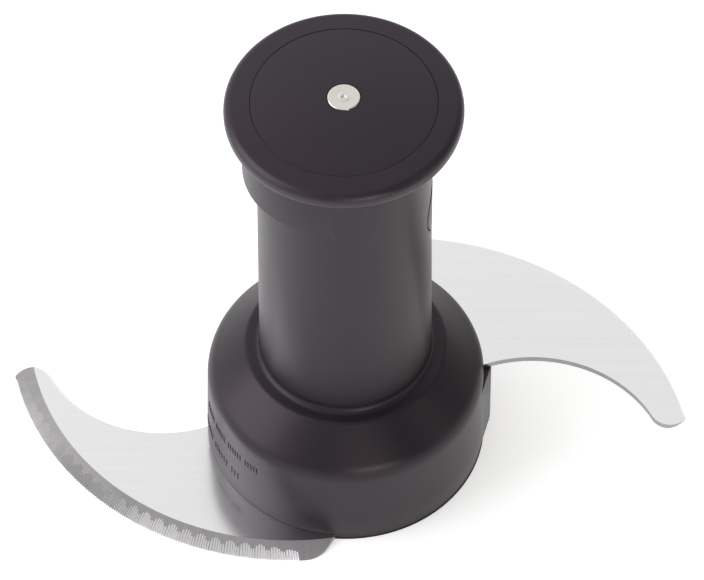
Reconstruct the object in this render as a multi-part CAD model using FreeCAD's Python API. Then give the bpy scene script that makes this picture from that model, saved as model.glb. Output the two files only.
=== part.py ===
import FreeCAD, Part
import math
import os

from FreeCAD import Placement, Rotation, Vector

# Chopping cutter of a food processor: a moulded hub with a grip knob on top and
# two curved blades at its foot.  Millimetres, +Z up the drive axis, origin on the
# axis at the base.  The upper blade's tip points to +X, the lower one's to -X.

# driving dimensions
# bores and walls, from the axis outwards
core_bore_r = 13.5          # bore that slides over the bowl's centre tube
core_wall = 2.2
rib_height = 1.8            # centring ribs between core tube and column
column_wall_top = 3.56
column_draft = 0.65         # how much wider the column is at its foot

# heights
column_top_z = 126.4
upper_blade_top_z = 24.6
skirt_above_blade = 2.4     # from the upper blade to the skirt's rounded upper corner
shoulder_rise = 9.6         # from that corner to the top of the bead
crease_depth = 0.8          # how deep the column's foot sits behind the bead
bead_fall = 0.4             # how much lower the bead is outside than inside
bead_round = 1.8
crease_round = 0.8
crease_width = 0.9
lobe_height = 18.4

# skirt, shoulder and lobe
skirt_r = 35.66
skirt_draft = 0.66
skirt_wall = 2.6
shoulder_wall = 2.9
edge_round = 6.5
bead_width = 3.55           # rounded bead round the column's foot
lobe_offset = 3.7
ledge_height = 1.64         # how far the ledge under the upper blade stands out
ledge_ramp_deg = -16.0      # bearing where its ramp leaves the skirt
ledge_from_deg = 4.3
ledge_to_deg = 82.0
ledge_round = 8.0

# blades
blade_t = 1.65
cut_centre = (-14.0, 31.3)  # lower blade; the upper one is turned half a turn
cut_r = 73.3
back_centre = (-47.2, 30.2)
back_r = 33.6
tip_deg = 192.08            # where the cutting edge ends, about its own centre
tip_round = 5.0
nose_line_at = (-4.6, -38.0)
nose_line_deg = 58.0        # direction of the blade's straight root end
nose_round = 7.0
bevel_width = 5.1
edge_land = 0.16            # thickness left at the cutting edge
root_land = 8.3             # width of the ring that clamps each blade

# fasteners of the blade stack
dowel_r = 2.0
dowel_count = 4
stack_screw_r = 1.5
stack_screw_head_r = 2.9
stack_screw_head_h = 1.0
stack_screw_length = 12.0
stack_screw_key = 2.0       # hexagon recess across its flats
stack_screw_key_depth = 0.9
pattern_turn_deg = 20.0
spacer_rim = 2.0
spacer_rib_t = 2.0
spacer_rib_count = 8
cover_lift = 0.4            # base cover above the foot's plane
clamp_ring_h = 3.0
circlip_h = 1.2
circlip_depth = 0.7
circlip_stand = 1.7
circlip_slot = 3.0
core_rib_t = 1.6
core_rib_count = 6

# drive socket in the column
hex_across_flats = 12.0
hex_depth = 7.0
socket_wall = 1.572         # at the hexagon's corners
socket_flange = 2.5         # how far the flange stands out
socket_flange_h = 2.0
socket_stand = 3.2          # how far the socket reaches below its carrier
pilot_r = 4.1               # for a spindle of 8 mm with running room
pilot_length = 7.5
carrier_h = 13.3
carrier_room = 0.85         # from the carrier up to the knob's boss
carrier_wall = 1.2
carrier_pockets = 8

# blade lock: button, plate, housing and spring
button_r = 8.0
button_room = 1.2           # from the button up to the socket's carrier
button_azimuth_deg = 3.5
button_proud = 0.35
button_travel = 1.4
core_room = 0.7             # from the button's hole down to the core tube
plate_t = 2.4
plate_half_width = 8.6
plate_slot_room = 0.5
plate_bite = 0.8            # how far the plate stands into the spindle's way
plate_over_travel = 0.4
plate_end_room = 4.0        # from the plate's end to the column's bore
stem_r = 2.0
stem_wall = 0.8
stem_grip = 3.0             # length of the stem in the plate
stem_in_button = 1.5
stem_end_room = 0.5
housing_half_h = 4.0
housing_wall_room = 1.4
spring_room = 4.9
spring_r = 2.1
spring_hole_room = 0.4
spring_wire_r = 0.25
spring_coils = 5

# knob
knob_r = 28.8
knob_h = 5.92
knob_edge_round = 2.3
knob_top_fall = 0.75        # the rim falls this much from the disc to its edge
knob_web = 2.85
knob_boss_wall = 2.7
knob_boss_depth = 9.7
knob_boss_round = 0.6
knob_boss_sink = 1.2        # how deep the boss is let into the knob
cap_r = 22.43
cap_rise = 1.83
seal_wire_r = 0.9
stud_r = 3.98
stud_head_h = 1.5
stud_stem_r = 2.4
stud_stem_length = 13.0
stud_edge_round = 0.25
stud_mark_r = 1.1
stud_mark_wire_r = 0.22
washer_r = 5.2
washer_h = 0.8
nut_across_flats = 8.0
nut_h = 3.6
slip_ring_h = 0.55

# clearances
running_gap = 0.3           # between pieces of different bodies
button_gap = 0.3
flat_gap = 0.05
seat_gap = 0.05             # between pieces that are pressed or screwed together
root_gap = 0.15
overlap = 1.0               # how far a cutting tool runs past what it cuts

# sizes that follow from them
core_r = core_bore_r + core_wall
column_bore_r = core_r + rib_height
column_top_r = column_bore_r + column_wall_top
column_foot_r = column_top_r + column_draft
root_hole_r = core_r + root_gap
root_r = core_r + root_land
upper_blade_z = upper_blade_top_z - blade_t
stack_pcd_r = (root_hole_r + root_r) / 2
screw_turn_deg = pattern_turn_deg + 180.0 / dowel_count
clamp_top_z = upper_blade_top_z + clamp_ring_h
skirt_edge_z = upper_blade_top_z + skirt_above_blade
skirt_top_r = skirt_r - skirt_draft
shoulder_top_z = skirt_edge_z + shoulder_rise
shoulder_under_z = shoulder_top_z - shoulder_wall
base_room_r = skirt_top_r - skirt_wall - root_gap
knob_z = column_top_z + slip_ring_h + 2 * flat_gap
knob_top_z = knob_z + knob_h
knob_boss_r = column_bore_r - running_gap
knob_boss_z = knob_z - knob_boss_depth
recess_floor_z = knob_z + knob_web
cap_top_z = knob_top_z + cap_rise
socket_r = hex_across_flats / math.sqrt(3) + socket_wall
socket_flange_r = socket_r + socket_flange
carrier_top_z = knob_boss_z - carrier_room
carrier_bottom_z = carrier_top_z - carrier_h
socket_bottom_z = carrier_bottom_z - socket_stand
button_x = column_top_r + button_proud
button_z = carrier_bottom_z - button_room - button_r
button_hole_r = button_r + button_gap
core_top_z = button_z - button_hole_r - core_room
plate_slot_r = pilot_r + plate_slot_room
plate_start_x = spring_room - column_bore_r
plate_end_x = column_bore_r - plate_end_room


# helpers
def ring(r_in, r_out, z0, z1):
    outer = Part.makeCylinder(r_out, z1 - z0, Vector(0, 0, z0))
    inner = Part.makeCylinder(r_in, z1 - z0 + 2 * overlap, Vector(0, 0, z0 - overlap))
    return outer.cut(inner)


def rod(r, z0, z1, x=0.0, y=0.0):
    return Part.makeCylinder(r, z1 - z0, Vector(x, y, z0))


def bar_x(r, x0, x1, z):
    """A round bar along X at height z."""
    return Part.makeCylinder(r, x1 - x0, Vector(x0, 0, z), Vector(1, 0, 0))


def block(x0, x1, y0, y1, z0, z1):
    return Part.makeBox(x1 - x0, y1 - y0, z1 - z0, Vector(x0, y0, z0))


def hexagon(across_flats, z0, z1):
    corner_r = across_flats / math.sqrt(3)
    corner = Vector(corner_r, 0, z0)
    points = [Rotation(Vector(0, 0, 1), 60 * i).multVec(corner) for i in range(7)]
    face = Part.Face(Part.makePolygon(points))
    return face.extrude(Vector(0, 0, z1 - z0))


def turned(corners):
    """Solid of revolution about Z from (radius, height, fillet) corners."""
    points = [Vector(r, 0, z) for r, z, _ in corners]
    edges = []
    last = None
    first = None
    count = len(points)
    for i, (corner, (_, _, fillet)) in enumerate(zip(points, corners)):
        back = (points[i - 1] - corner).normalize()
        ahead = (points[(i + 1) % count] - corner).normalize()
        start, end = corner, corner
        if fillet > 0:
            half = back.getAngle(ahead) / 2
            reach = fillet / math.tan(half)
            start = corner + back * reach
            end = corner + ahead * reach
            middle = (back + ahead).normalize()
            centre = corner + middle * (fillet / math.sin(half))
            edges.append(Part.Arc(start, centre - middle * fillet, end).toShape())
        if last is not None:
            edges.append(Part.makeLine(last, start))
        if first is None:
            first = start
        last = end
    edges.append(Part.makeLine(last, first))
    wire = Part.Wire(Part.__sortEdges__(edges))
    return Part.Face(wire).revolve(Vector(0, 0, 0), Vector(0, 0, 1), 360)


def around(shape, count, start_deg=0.0):
    copies = []
    for i in range(count):
        copy = shape.copy()
        copy.rotate(Vector(0, 0, 0), Vector(0, 0, 1), start_deg + 360.0 * i / count)
        copies.append(copy)
    return copies


def polar(centre, r, angle):
    return Vector(centre[0] + r * math.cos(angle), centre[1] + r * math.sin(angle), 0)


def arc_about(centre, r, a0, a1):
    return Part.Arc(polar(centre, r, a0), polar(centre, r, (a0 + a1) / 2), polar(centre, r, a1)).toShape()


def write(name, shape):
    solids = shape.Solids
    if len(solids) == 1:
        shape = solids[0]
    shape.exportStep("parts/%s.step" % name)
    print("%-16s solids %d  volume %.1f  valid %s" % (name, len(solids), shape.Volume, shape.isValid()))


# blades
def blade_plan():
    """Outline of the lower blade's arm, closed inside the root ring."""
    cx, cy = cut_centre
    bx, by = back_centre
    tip_a = math.radians(tip_deg)
    corner = polar(cut_centre, cut_r, tip_a)

    # tip round: touches the back arc from outside and passes through the corner
    reach = back_r + tip_round
    to_corner = math.hypot(corner.x - bx, corner.y - by)
    cosine = (reach ** 2 + to_corner ** 2 - tip_round ** 2) / (2 * reach * to_corner)
    back_a = math.atan2(corner.y - by, corner.x - bx) % (2 * math.pi) + math.acos(cosine)
    tip_centre = polar(back_centre, reach, back_a)
    a_corner = math.atan2(corner.y - tip_centre.y, corner.x - tip_centre.x) % (2 * math.pi)
    a_back = (back_a - math.pi) % (2 * math.pi)

    # root nose: a round between the cutting arc and the straight root end
    line_a = math.radians(nose_line_deg)
    along = Vector(math.cos(line_a), math.sin(line_a), 0)
    side = Vector(-math.sin(line_a), math.cos(line_a), 0)
    base = Vector(nose_line_at[0], nose_line_at[1], 0) + side * nose_round
    offset = base - Vector(cx, cy, 0)
    half_b = offset.dot(along)
    step = -half_b - math.sqrt(half_b ** 2 - offset.dot(offset) + (cut_r - nose_round) ** 2)
    nose_centre = base + along * step
    nose_a = math.atan2(nose_centre.y - cy, nose_centre.x - cx)
    line_start = nose_centre - side * nose_round
    line_in = line_start + along * (line_start.Length - stack_pcd_r)
    nose_end_a = line_a - math.pi / 2

    inner_a = math.atan2(-by, -bx) % (2 * math.pi)
    inner = polar(back_centre, back_r, inner_a)
    edges = [
        arc_about(cut_centre, cut_r, tip_a, nose_a % (2 * math.pi)),
        arc_about((nose_centre.x, nose_centre.y), nose_round, nose_a, nose_end_a),
        Part.makeLine(line_start, line_in),
        Part.makeLine(line_in, inner),
        arc_about(back_centre, back_r, inner_a, back_a),
        arc_about((tip_centre.x, tip_centre.y), tip_round, a_back, a_corner),
    ]
    return Part.Face(Part.Wire(Part.__sortEdges__(edges)))


def blade_blank(z0, height):
    """The blade's whole outline as a plain plate, root ring included."""
    plate = blade_plan().extrude(Vector(0, 0, height))
    plate.translate(Vector(0, 0, z0))
    return plate.fuse(rod(root_r, z0, z0 + height)).removeSplitter()


def bevel_cutter():
    """What grinding takes off the top of a blade that lies at z = 0."""
    tool = Part.Face(Part.makePolygon([
        Vector(cut_r - bevel_width, 0, blade_t),
        Vector(cut_r + overlap, 0, edge_land - overlap * (blade_t - edge_land) / bevel_width),
        Vector(cut_r + overlap, 0, blade_t + overlap),
        Vector(cut_r - bevel_width, 0, blade_t + overlap),
        Vector(cut_r - bevel_width, 0, blade_t),
    ])).revolve(Vector(0, 0, 0), Vector(0, 0, 1), 360)
    tool.translate(Vector(cut_centre[0], cut_centre[1], 0))
    return tool


def stack_holes(r, z0, z1, start_deg):
    return around(rod(r, z0, z1, stack_pcd_r), dowel_count, start_deg)


def countersinks():
    cone = Part.makeCone(stack_screw_head_r, stack_screw_r, stack_screw_head_h, Vector(stack_pcd_r, 0, 0))
    return around(cone, dowel_count, screw_turn_deg)


def lower_blade():
    blade = blade_blank(0, blade_t).cut(bevel_cutter())
    blade = blade.cut(rod(root_hole_r, -overlap, blade_t + overlap))
    for hole in stack_holes(dowel_r + seat_gap, -overlap, blade_t + overlap, pattern_turn_deg):
        blade = blade.cut(hole)
    for hole in stack_holes(stack_screw_r + seat_gap, -overlap, blade_t + overlap, screw_turn_deg):
        blade = blade.cut(hole)
    for sink in countersinks():
        blade = blade.cut(sink)
    return blade


def upper_blade():
    """Ground on its underside and turned half a turn."""
    blade = blade_blank(0, blade_t)
    tool = bevel_cutter().mirror(Vector(0, 0, blade_t / 2), Vector(0, 0, 1))
    blade = blade.cut(tool)
    blade = blade.cut(rod(root_hole_r, -overlap, blade_t + overlap))
    for hole in stack_holes(dowel_r + seat_gap, -overlap, blade_t + overlap, pattern_turn_deg):
        blade = blade.cut(hole)
    blade.translate(Vector(0, 0, upper_blade_z))
    blade.rotate(Vector(0, 0, 0), Vector(0, 0, 1), 180)
    return blade


def upper_blank():
    blank = blade_blank(upper_blade_z, blade_t)
    blank.rotate(Vector(0, 0, 0), Vector(0, 0, 1), 180)
    return blank


# blade stack
def blade_spacer():
    """Hub ring and rim joined by ribs, between the two blades."""
    half = spacer_rib_t / 2
    inner = ring(root_hole_r, root_r, blade_t, upper_blade_z)
    outer = ring(base_room_r - spacer_rim, base_room_r, blade_t, upper_blade_z)
    rib = block(root_r - overlap, base_room_r - overlap, -half, half, blade_t, upper_blade_z)
    shape = inner.fuse([outer] + around(rib, spacer_rib_count, pattern_turn_deg)).removeSplitter()
    for hole in stack_holes(dowel_r + seat_gap, 0, upper_blade_top_z, pattern_turn_deg):
        shape = shape.cut(hole)
    for hole in stack_holes(stack_screw_r + seat_gap, 0, stack_screw_length + overlap, screw_turn_deg):
        shape = shape.cut(hole)
    return shape


def blade_dowels():
    pin = rod(dowel_r, edge_land, upper_blade_top_z - edge_land, stack_pcd_r)
    return Part.Compound(around(pin, dowel_count, pattern_turn_deg))


def base_screws():
    room = 3 * seat_gap
    head = Part.makeCone(stack_screw_head_r - room, stack_screw_r - room,
                         stack_screw_head_h, Vector(stack_pcd_r, 0, seat_gap))
    shank = rod(stack_screw_r - seat_gap, stack_screw_head_h, stack_screw_length, stack_pcd_r)
    recess = hexagon(stack_screw_key, 0, stack_screw_key_depth)
    recess.translate(Vector(stack_pcd_r, 0, 0))
    screw = head.fuse(shank).removeSplitter().cut(recess)
    return Part.Compound(around(screw, dowel_count, screw_turn_deg))


def clamp_ring():
    return ring(root_hole_r, root_r - overlap, upper_blade_top_z, clamp_top_z)


def circlip(shaft_r, z0, z1):
    """Split ring that sits in a groove of a shaft."""
    half = circlip_slot / 2
    shape = ring(shaft_r - circlip_depth + seat_gap, shaft_r + circlip_stand, z0, z1)
    return shape.cut(block(0, shaft_r + 2 * circlip_stand, -half, half, z0 - overlap, z1 + overlap))


def core_circlip():
    """Above the clamp ring, in the core tube's groove."""
    return circlip(core_r, clamp_top_z + seat_gap, clamp_top_z + circlip_h)


# hub
def blade_ledge():
    """Ledge under the upper blade's root, filled to the axis, with a ramp in front."""
    axis = Vector(0, 0, 0)
    outer_r = skirt_r + ledge_height
    from_a = math.radians(ledge_from_deg)
    to_a = math.radians(ledge_to_deg)
    start = polar((0, 0), skirt_top_r, math.radians(ledge_ramp_deg))
    corner = polar((0, 0), outer_r, from_a)
    end = polar((0, 0), outer_r, to_a)
    outline = Part.Wire([
        Part.makeLine(axis, start),
        Part.makeLine(start, corner),
        arc_about((0, 0), outer_r, from_a, to_a),
        Part.makeLine(end, axis),
    ])
    ledge = Part.Face(outline).extrude(Vector(0, 0, upper_blade_z))
    middle = corner + Vector(0, 0, upper_blade_z / 2)
    at_corner = [edge for edge in ledge.Edges if (edge.CenterOfMass - middle).Length < overlap]
    return ledge.makeFillet(ledge_round, at_corner)


def hub_skirt():
    """Skirt, shoulder and bead, with the ledge under the upper blade."""
    outer = turned([
        (0, 0, 0),
        (skirt_r, 0, 0),
        (skirt_top_r, skirt_edge_z, edge_round),
        (column_foot_r + bead_width, shoulder_top_z - bead_fall, bead_round),
        (column_foot_r + crease_width, shoulder_top_z, crease_round),
        (column_foot_r, shoulder_top_z - crease_depth, 0),
        (0, shoulder_top_z - crease_depth, 0),
    ])
    cavity = turned([
        (0, -overlap, 0),
        (skirt_r - skirt_wall, -overlap, 0),
        (skirt_top_r - skirt_wall, skirt_edge_z - edge_round / 2, 0),
        (column_foot_r + bead_width - shoulder_wall / 2, shoulder_under_z, 0),
        (column_foot_r, shoulder_under_z, 0),
        (column_foot_r, shoulder_top_z + overlap, 0),
        (0, shoulder_top_z + overlap, 0),
    ])
    shape = outer.fuse(blade_ledge()).removeSplitter().cut(cavity)
    shape = shape.cut(blade_blank(-overlap, blade_t + overlap))
    return shape.cut(upper_blank())


def hub_column():
    """Column with the lobe under the knob; its foot stands in the shoulder."""
    crease_z = shoulder_top_z - crease_depth
    outer = turned([
        (0, shoulder_under_z, 0),
        (column_foot_r, shoulder_under_z, 0),
        (column_foot_r, crease_z, 0),
        (column_top_r, column_top_z, 0),
        (0, column_top_z, 0),
    ])
    lobe = rod(column_top_r, column_top_z - lobe_height, column_top_z, -lobe_offset)
    bore = rod(column_bore_r, shoulder_under_z - overlap, column_top_z + overlap)
    return outer.fuse(lobe).removeSplitter().cut(bore).cut(button_hole())


def core_tube():
    """Inner tube that fits over the bowl's centre tube, with centring ribs."""
    half = core_rib_t / 2
    tube = ring(core_bore_r, core_r, 0, core_top_z)
    rib = block(core_bore_r + core_wall / 2, column_bore_r - seat_gap, -half, half,
                shoulder_under_z, core_top_z)
    tube = tube.fuse(around(rib, core_rib_count, 180.0 / core_rib_count)).removeSplitter()
    groove = ring(core_r - circlip_depth, column_bore_r + overlap,
                  clamp_top_z, clamp_top_z + circlip_h + seat_gap)
    return tube.cut(groove)


def base_cover():
    """Thin ring that closes the skirt's underside round the lower blade."""
    cover = ring(root_r + root_gap, base_room_r, cover_lift, blade_t)
    return cover.cut(blade_blank(-overlap, blade_t + 2 * overlap))


# drive socket
def drive_socket():
    flange_z = carrier_top_z - socket_flange_h
    shape = rod(socket_r, socket_bottom_z, carrier_top_z).fuse(
        rod(socket_flange_r, flange_z, carrier_top_z)).removeSplitter()
    shape = shape.cut(hexagon(hex_across_flats, socket_bottom_z - overlap, socket_bottom_z + hex_depth))
    shape = shape.cut(rod(pilot_r, socket_bottom_z, socket_bottom_z + hex_depth + pilot_length))
    groove_z = carrier_bottom_z - circlip_h - seat_gap
    return shape.cut(ring(socket_r - circlip_depth, socket_r + overlap, groove_z, carrier_bottom_z))


def socket_circlip():
    """Under the carrier, in the socket's groove."""
    return circlip(socket_r, carrier_bottom_z - circlip_h, carrier_bottom_z - seat_gap)


def socket_carrier():
    """Plastic wheel that holds the socket in the column's bore."""
    shape = ring(socket_r + seat_gap, column_bore_r - seat_gap, carrier_bottom_z, carrier_top_z)
    flange_z = carrier_top_z - socket_flange_h
    shape = shape.cut(rod(socket_flange_r + seat_gap, flange_z, carrier_top_z + overlap))
    middle_r = (socket_flange_r + column_bore_r) / 2
    pocket = rod((column_bore_r - socket_flange_r) / 2 - carrier_wall, carrier_bottom_z - overlap,
                 carrier_top_z - 2 * socket_flange_h, middle_r)
    for hole in around(pocket, carrier_pockets):
        shape = shape.cut(hole)
    return shape


# blade lock
def button_hole():
    hole = bar_x(button_hole_r, 0, column_foot_r + overlap, button_z)
    hole.rotate(Vector(0, 0, 0), Vector(0, 0, 1), button_azimuth_deg)
    return hole


def release_button():
    """Round button whose face follows the column's wall and stands a little proud."""
    inner_x = column_bore_r - seat_gap
    face = rod(button_x, button_z - 2 * button_r, button_z + 2 * button_r)
    body = bar_x(button_r, inner_x, button_x + overlap, button_z)
    socket_end_x = column_bore_r + stem_in_button + stem_end_room
    return body.common(face).cut(bar_x(stem_r + seat_gap, inner_x - overlap, socket_end_x, button_z))


def button_stem():
    """Steel pin that joins the button to the lock plate."""
    return bar_x(stem_r, plate_end_x - stem_grip, column_bore_r + stem_in_button, button_z)


def lock_plate():
    """Flat plate round the spindle's groove; its slot stands off centre at rest."""
    z0 = button_z - plate_t / 2
    z1 = z0 + plate_t
    near = plate_slot_r - pilot_r + plate_bite
    far = near + button_travel + plate_over_travel
    plate = block(plate_start_x, plate_end_x, -plate_half_width, plate_half_width, z0, z1)
    boss = bar_x(stem_r + stem_wall, plate_end_x - stem_grip, plate_end_x, button_z)
    slot = rod(plate_slot_r, z0 - overlap, z1 + overlap, near).fuse([
        rod(plate_slot_r, z0 - overlap, z1 + overlap, far),
        block(near, far, -plate_slot_r, plate_slot_r, z0 - overlap, z1 + overlap)])
    stem_hole = bar_x(stem_r + seat_gap, plate_end_x - stem_grip - seat_gap, column_bore_r, button_z)
    return plate.fuse(boss).removeSplitter().cut(slot).cut(stem_hole)


def lock_housing():
    """Fixed guide that the lock plate slides in."""
    slide_half = (plate_t + running_gap) / 2
    slide_width = plate_half_width + running_gap
    slide_x = plate_start_x - button_travel - running_gap
    relief_x = column_bore_r - seat_gap - button_travel - running_gap
    out_x = column_bore_r + overlap
    shape = ring(plate_slot_r + housing_wall_room, column_bore_r - seat_gap,
                 button_z - housing_half_h, button_z + housing_half_h)
    shape = shape.cut(block(slide_x, out_x, -slide_width, slide_width,
                            button_z - slide_half, button_z + slide_half))
    shape = shape.cut(bar_x(stem_r + stem_wall + running_gap, 0, out_x, button_z))
    shape = shape.cut(bar_x(spring_r + spring_hole_room, -out_x, 0, button_z))
    return shape.cut(bar_x(button_hole_r, relief_x, out_x, button_z))


def lock_spring():
    """Coil between the column's wall and the lock plate."""
    coil_r = spring_r - spring_wire_r
    left = seat_gap + spring_wire_r - column_bore_r
    length = spring_room - 2 * seat_gap - 2 * spring_wire_r
    helix = Part.makeHelix(length / spring_coils, length, coil_r)
    section = Part.Wire(Part.makeCircle(spring_wire_r, Vector(coil_r, 0, 0), Vector(0, 1, 0)))
    coil = Part.Wire(helix.Edges).makePipeShell([section], True, True)
    coil.Placement = Placement(Vector(left, 0, button_z), Rotation(Vector(0, 1, 0), 90))
    return coil


def turn_to_button(shape):
    shape = shape.copy()
    shape.rotate(Vector(0, 0, 0), Vector(0, 0, 1), button_azimuth_deg)
    return shape


# knob
def slip_ring():
    return ring(column_bore_r + running_gap, column_top_r - running_gap,
                column_top_z + flat_gap, column_top_z + flat_gap + slip_ring_h)


def knob():
    """Grip rim and web; the recess on top takes the disc."""
    seat_r = cap_r + seat_gap
    boss_seat_r = knob_boss_r + seat_gap
    shape = turned([
        (stud_stem_r + seat_gap, knob_z, 0),
        (boss_seat_r, knob_z, 0),
        (knob_r, knob_z, knob_edge_round),
        (knob_r, knob_top_z - knob_top_fall, knob_edge_round),
        (seat_r, knob_top_z, 0),
        (seat_r, recess_floor_z, 0),
        (stud_stem_r + seat_gap, recess_floor_z, 0),
    ])
    return shape.cut(ring(knob_boss_r - knob_boss_wall - seat_gap, boss_seat_r,
                          knob_z - overlap, knob_z + knob_boss_sink))


def knob_boss():
    """Bush let into the knob's underside, which screws into the column."""
    bore_r = knob_boss_r - knob_boss_wall
    shape = turned([
        (bore_r, knob_z + knob_boss_sink, 0),
        (bore_r, knob_boss_z, 0),
        (knob_boss_r, knob_boss_z, knob_boss_round),
        (knob_boss_r, knob_z + knob_boss_sink, 0),
    ])
    r, z = seal_centre()
    groove_half = seal_wire_r + seat_gap
    return shape.cut(ring(r - groove_half, knob_boss_r + overlap, z - groove_half, z + groove_half))


def seal_centre():
    return knob_boss_r - seal_wire_r - seat_gap, knob_z - 2 * seal_wire_r


def knob_seal():
    r, z = seal_centre()
    return Part.makeTorus(r, seal_wire_r, Vector(0, 0, z))


def knob_cap():
    """Domed disc let into the knob."""
    dome_r = (cap_r ** 2 + cap_rise ** 2) / (2 * cap_rise)
    ball = Part.makeSphere(dome_r, Vector(0, 0, cap_top_z - dome_r))
    disc = rod(cap_r, recess_floor_z, cap_top_z + overlap).common(ball)
    disc = disc.cut(rod(stud_stem_r + seat_gap, recess_floor_z - overlap, cap_top_z))
    return disc.cut(rod(stud_r + seat_gap, cap_top_z - stud_head_h, cap_top_z + overlap))


def centre_stud():
    """Steel stud with a flat head and a small centre mark."""
    head_z = cap_top_z - stud_head_h + seat_gap
    nut_end_z = knob_z - washer_h - nut_h
    stem = rod(stud_stem_r, min(head_z - stud_stem_length, nut_end_z - stud_edge_round), head_z)
    head = turned([
        (0, head_z, 0),
        (stud_r, head_z, 0),
        (stud_r, cap_top_z, stud_edge_round),
        (0, cap_top_z, 0),
    ])
    mark = Part.makeTorus(stud_mark_r, stud_mark_wire_r, Vector(0, 0, cap_top_z))
    return stem.fuse(head).removeSplitter().cut(mark)


def stud_washer():
    return ring(stud_stem_r + seat_gap, washer_r, knob_z - washer_h, knob_z)


def stud_nut():
    top_z = knob_z - washer_h
    return hexagon(nut_across_flats, top_z - nut_h, top_z).cut(
        rod(stud_stem_r + seat_gap, top_z - nut_h - overlap, top_z + overlap))


os.makedirs("parts", exist_ok=True)
write("hub_skirt", hub_skirt())
write("hub_column", hub_column())
write("core_tube", core_tube())
write("base_cover", base_cover())
write("lower_blade", lower_blade())
write("upper_blade", upper_blade())
write("blade_spacer", blade_spacer())
write("blade_dowels", blade_dowels())
write("base_screws", base_screws())
write("clamp_ring", clamp_ring())
write("core_circlip", core_circlip())
write("drive_socket", drive_socket())
write("socket_carrier", socket_carrier())
write("socket_circlip", socket_circlip())
write("lock_housing", turn_to_button(lock_housing()))
write("lock_spring", turn_to_button(lock_spring()))
write("lock_plate", turn_to_button(lock_plate()))
write("button_stem", turn_to_button(button_stem()))
write("release_button", turn_to_button(release_button()))
write("slip_ring", slip_ring())
write("knob", knob())
write("knob_boss", knob_boss())
write("knob_cap", knob_cap())
write("knob_seal", knob_seal())
write("centre_stud", centre_stud())
write("stud_washer", stud_washer())
write("stud_nut", stud_nut())
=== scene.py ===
import math
import bpy
from mathutils import Matrix, Vector


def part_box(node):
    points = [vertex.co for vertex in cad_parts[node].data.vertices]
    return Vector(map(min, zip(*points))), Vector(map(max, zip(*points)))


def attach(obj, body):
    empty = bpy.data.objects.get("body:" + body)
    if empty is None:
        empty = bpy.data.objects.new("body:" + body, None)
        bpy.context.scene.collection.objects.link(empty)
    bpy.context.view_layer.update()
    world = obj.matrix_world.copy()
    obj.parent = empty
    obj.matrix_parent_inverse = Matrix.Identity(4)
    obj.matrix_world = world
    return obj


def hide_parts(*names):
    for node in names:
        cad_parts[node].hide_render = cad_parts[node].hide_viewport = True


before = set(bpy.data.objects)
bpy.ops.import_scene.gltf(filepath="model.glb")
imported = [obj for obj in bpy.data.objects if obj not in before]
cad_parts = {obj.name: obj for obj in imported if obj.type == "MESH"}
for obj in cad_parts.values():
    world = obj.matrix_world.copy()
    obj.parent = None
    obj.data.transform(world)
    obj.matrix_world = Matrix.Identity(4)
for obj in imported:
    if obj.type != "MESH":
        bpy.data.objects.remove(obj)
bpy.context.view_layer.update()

mm = 0.001
past = 1 * mm            # how far a cutting shape reaches beyond what it cuts
arcStep = 9              # degrees for each face of a rounded corner
weldGap = 2e-6
slimEdge = 1e-6


def deselectAll():
    if bpy.context.object and bpy.context.object.mode != "OBJECT":
        bpy.ops.object.mode_set(mode="OBJECT")
    bpy.ops.object.select_all(action="DESELECT")


def makeActive(obj):
    deselectAll()
    obj.select_set(True)
    bpy.context.view_layer.objects.active = obj


def applyPlace(obj):
    makeActive(obj)
    bpy.ops.object.transform_apply(location=True, rotation=True, scale=True)


def applyModifier(obj, kind, **settings):
    makeActive(obj)
    modifier = obj.modifiers.new(kind.lower(), kind)
    for name, value in settings.items():
        setattr(modifier, name, value)
    bpy.ops.object.modifier_apply(modifier=modifier.name)


def boolean(obj, tool, operation="DIFFERENCE"):
    applyModifier(obj, "BOOLEAN", object=tool, operation=operation, solver="MANIFOLD")
    bpy.data.objects.remove(tool)


def editAll(obj):
    makeActive(obj)
    bpy.ops.object.mode_set(mode="EDIT")
    bpy.ops.mesh.select_all(action="SELECT")


def backToObject():
    bpy.ops.object.mode_set(mode="OBJECT")


def cleanMesh(obj):
    editAll(obj)
    bpy.ops.mesh.remove_doubles(threshold=weldGap)
    bpy.ops.mesh.dissolve_degenerate(threshold=slimEdge)
    bpy.ops.mesh.normals_make_consistent(inside=False)
    backToObject()


def softEdges(obj, degrees=30):
    makeActive(obj)
    bpy.ops.object.shade_smooth_by_angle(angle=math.radians(degrees))


def joinAll(pieces):
    deselectAll()
    for piece in pieces:
        piece.select_set(True)
    bpy.context.view_layer.objects.active = pieces[0]
    bpy.ops.object.join()
    return bpy.context.object


def polar(centre, radius, degrees):
    angle = math.radians(degrees)
    return Vector((centre[0] + radius * math.cos(angle), centre[1] + radius * math.sin(angle)))


def arcPoints(centre, radius, start, end, count):
    return [polar(centre, radius, start + (end - start) * i / count) for i in range(count + 1)]


def degreesOf(vector):
    return math.degrees(math.atan2(vector.y, vector.x)) % 360


# a closed section from (radius, height, fillet) corners, with its round corners as arcs
def roundedSection(corners):
    points = []
    for i, (radius, height, fillet) in enumerate(corners):
        here = Vector((radius, height))
        if not fillet:
            points.append(here)
            continue
        back = (Vector(corners[i - 1][:2]) - here).normalized()
        ahead = (Vector(corners[(i + 1) % len(corners)][:2]) - here).normalized()
        half = back.angle(ahead) / 2
        centre = here + (back + ahead).normalized() * (fillet / math.sin(half))
        first = here + back * (fillet / math.tan(half)) - centre
        turn = math.pi - 2 * half
        if first.cross(ahead) < 0:
            turn = -turn
        steps = max(3, round(abs(turn) / math.radians(arcStep)))
        for k in range(steps + 1):
            angle = turn * k / steps
            points.append(centre + Vector((first.x * math.cos(angle) - first.y * math.sin(angle),
                                           first.x * math.sin(angle) + first.y * math.cos(angle))))
    return points


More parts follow.
